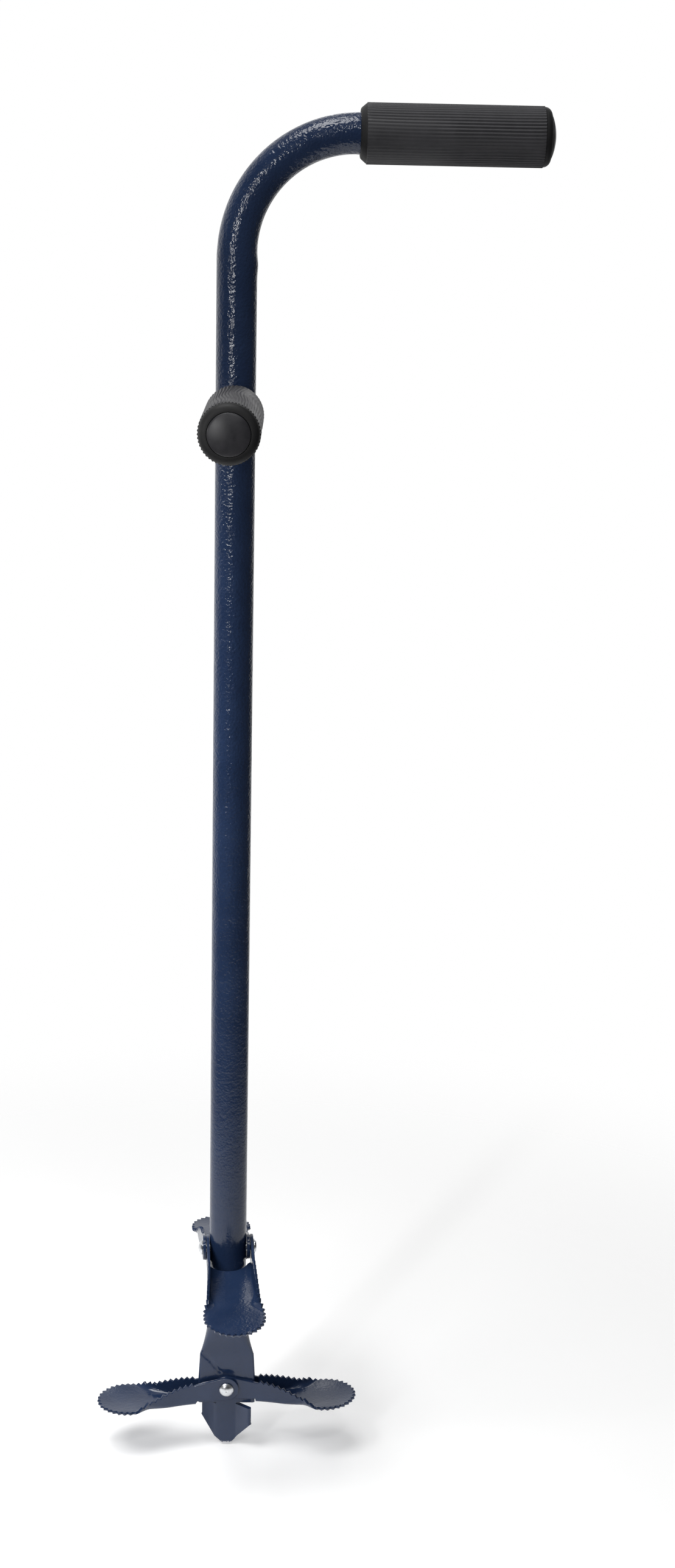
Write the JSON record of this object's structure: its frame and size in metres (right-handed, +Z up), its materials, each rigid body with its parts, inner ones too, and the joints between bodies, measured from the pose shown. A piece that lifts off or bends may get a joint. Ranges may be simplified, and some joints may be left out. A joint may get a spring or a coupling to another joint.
{
  "type": "compost aerator",
  "caption": "Bent-tube compost turning tool with two ribbed grips, a tube end pressed into a spear, and hinged serrated scoop wings that fold up on entry.",
  "frame": {"origin": "the spear's blunt tip, on the shaft's axis", "axes": "+Z up the shaft, +X along the top handle towards its free end, and -Y along the side handle towards its free end, turned 0.8 degrees to -X"},
  "size_m": [0.2864, 0.2332, 0.9169],
  "materials": {
    "powder_coat": "glossy orange-peel navy powder coat",
    "grip_rubber": "ribbed matte",
    "plug_plastic": "satin moulded",
    "zinc": "bright zinc plate"
  },
  "bodies": {
    "frame": {"main_tube": "powder_coat", "side_handle_tube": "powder_coat", "side_handle_weld": "powder_coat", "top_grip": "grip_rubber", "side_grip": "grip_rubber", "top_end_plug": "plug_plastic", "side_end_plug": "plug_plastic", "upper_rivet": "zinc", "upper_rivet_washer": "zinc", "lower_rivet": "zinc", "lower_rivet_washer": "zinc"},
    "upper_front_wing": {"upper_front_wing": "powder_coat"},
    "upper_rear_wing": {"upper_rear_wing": "powder_coat"},
    "lower_left_wing": {"lower_left_wing": "powder_coat"},
    "lower_right_wing": {"lower_right_wing": "powder_coat"}
  },
  "joints": [
    {"name": "upper_front_fold", "type": "hinge", "parent": "frame", "child": "upper_front_wing", "pos_m": [0, 0, 0.152], "axis": [-0.9976, -0.0698, 0], "range_deg": [0, 80]},
    {"name": "upper_rear_fold", "type": "hinge", "parent": "frame", "child": "upper_rear_wing", "pos_m": [0, 0, 0.152], "axis": [0.9976, 0.0698, 0], "range_deg": [0, 80]},
    {"name": "lower_left_fold", "type": "hinge", "parent": "frame", "child": "lower_left_wing", "pos_m": [0, 0, 0.0454], "axis": [0, 1, 0], "range_deg": [0, 50]},
    {"name": "lower_right_fold", "type": "hinge", "parent": "frame", "child": "lower_right_wing", "pos_m": [0, 0, 0.0454], "axis": [0, -1, 0], "range_deg": [0, 46]}
  ]
}
